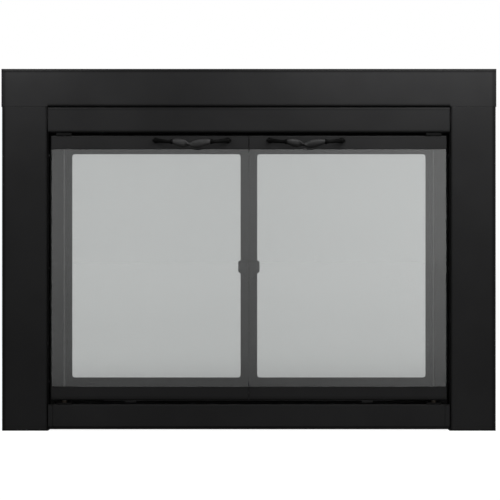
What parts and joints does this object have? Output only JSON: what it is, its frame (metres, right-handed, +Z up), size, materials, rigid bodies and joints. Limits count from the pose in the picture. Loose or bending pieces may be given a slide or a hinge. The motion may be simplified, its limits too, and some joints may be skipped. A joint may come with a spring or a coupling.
{
  "type": "fireplace glass door",
  "caption": "Cabinet-style fireplace enclosure: black steel surround, swinging glass doors with twisted leaf handles, mesh gates behind them and a sliding air control.",
  "frame": {"origin": "on the hearth, at the middle of the object's width, in the plane of the wall's face that the surround lies against", "axes": "+X to the right seen from the room, +Y into the firebox, +Z up"},
  "size_m": [1.105, 0.1549, 0.808],
  "materials": {
    "surround_paint": "satin black powder coat",
    "frame_paint": "matt black high-heat paint",
    "door_rail_paint": "satin black powder coat",
    "handle_iron": "satin black forged iron",
    "door_glass": "clear tempered, lightly smoked",
    "glass_gasket": "matt black heat-proof cord",
    "gate_paint": "matt black high-heat paint",
    "mesh_wire": "fine dark woven wire",
    "zinc_steel": "bright zinc plate",
    "black_steel": "black oxide",
    "bush_bronze": "dull sintered bronze",
    "magnet_plastic": "matt black",
    "knob_plastic": "matt black phenolic",
    "insulation_wool": "unfaced glass wool"
  },
  "bodies": {
    "surround": {"header_panel": "surround_paint", "left_leg_panel": "surround_paint", "right_leg_panel": "surround_paint", "top_rail": "surround_paint", "lower_rail": "surround_paint", "lower_rail_ends": "surround_paint", "left_jamb": "frame_paint", "right_jamb": "frame_paint", "head_channel": "frame_paint", "sill_riser": "frame_paint", "hearth_plate": "frame_paint", "draft_guides": "black_steel", "surround_bolts": "zinc_steel", "surround_nuts": "zinc_steel", "jamb_screws": "black_steel", "hearth_brackets": "zinc_steel", "lintel_clamps": "zinc_steel", "lintel_screws": "zinc_steel", "bracket_screws": "zinc_steel", "door_pivot_brackets": "black_steel", "pivot_bracket_screws": "black_steel", "door_bushes": "bush_bronze", "gate_bushes": "bush_bronze", "magnet_housings": "magnet_plastic", "magnet_poles": "zinc_steel", "gate_stop": "frame_paint", "left_insulation": "insulation_wool", "right_insulation": "insulation_wool", "top_insulation": "insulation_wool"},
    "left_door": {"left_door_top_rail": "door_rail_paint", "left_door_bottom_rail": "door_rail_paint", "left_door_glass": "door_glass", "left_glass_gaskets": "glass_gasket", "left_clamp_screws": "black_steel", "left_handle": "handle_iron", "left_handle_screws": "black_steel", "left_strike_plate": "zinc_steel", "left_door_pins": "zinc_steel"},
    "right_door": {"right_door_top_rail": "door_rail_paint", "right_door_bottom_rail": "door_rail_paint", "right_door_glass": "door_glass", "right_glass_gaskets": "glass_gasket", "right_clamp_screws": "black_steel", "right_handle": "handle_iron", "right_handle_screws": "black_steel", "right_strike_plate": "zinc_steel", "right_door_pins": "zinc_steel"},
    "left_gate": {"left_gate_stiles": "gate_paint", "left_gate_rails": "gate_paint", "left_mesh": "mesh_wire", "left_gate_pull": "gate_paint", "left_gate_pins": "zinc_steel"},
    "right_gate": {"right_gate_stiles": "gate_paint", "right_gate_rails": "gate_paint", "right_mesh": "mesh_wire", "right_gate_pull": "gate_paint", "right_gate_pins": "zinc_steel"},
    "air_control": {"draft_slide": "black_steel", "draft_knob": "knob_plastic"}
  },
  "joints": [
    {"name": "left_door_hinge", "type": "hinge", "parent": "surround", "child": "left_door", "pos_m": [-0.4126, -0.033, 0.364], "axis": [0, 0, -1], "range_deg": [0, 95]},
    {"name": "left_gate_hinge", "type": "hinge", "parent": "surround", "child": "left_gate", "pos_m": [-0.391, 0.008, 0.367], "axis": [0, 0, -1], "range_deg": [0, 85.5]},
    {"name": "right_door_hinge", "type": "hinge", "parent": "surround", "child": "right_door", "pos_m": [0.4126, -0.033, 0.364], "axis": [0, 0, 1], "range_deg": [0, 95]},
    {"name": "right_gate_hinge", "type": "hinge", "parent": "surround", "child": "right_gate", "pos_m": [0.391, 0.008, 0.367], "axis": [0, 0, 1], "range_deg": [0, 85.5]},
    {"name": "air_control_slide", "type": "slide", "parent": "surround", "child": "air_control", "axis": [1, 0, 0], "range_m": [0, 0.027]}
  ],
  "couplings": [
    {"joint": "left_gate_hinge", "follows": "left_door_hinge", "ratio": 0.9},
    {"joint": "right_gate_hinge", "follows": "right_door_hinge", "ratio": 0.9}
  ]
}
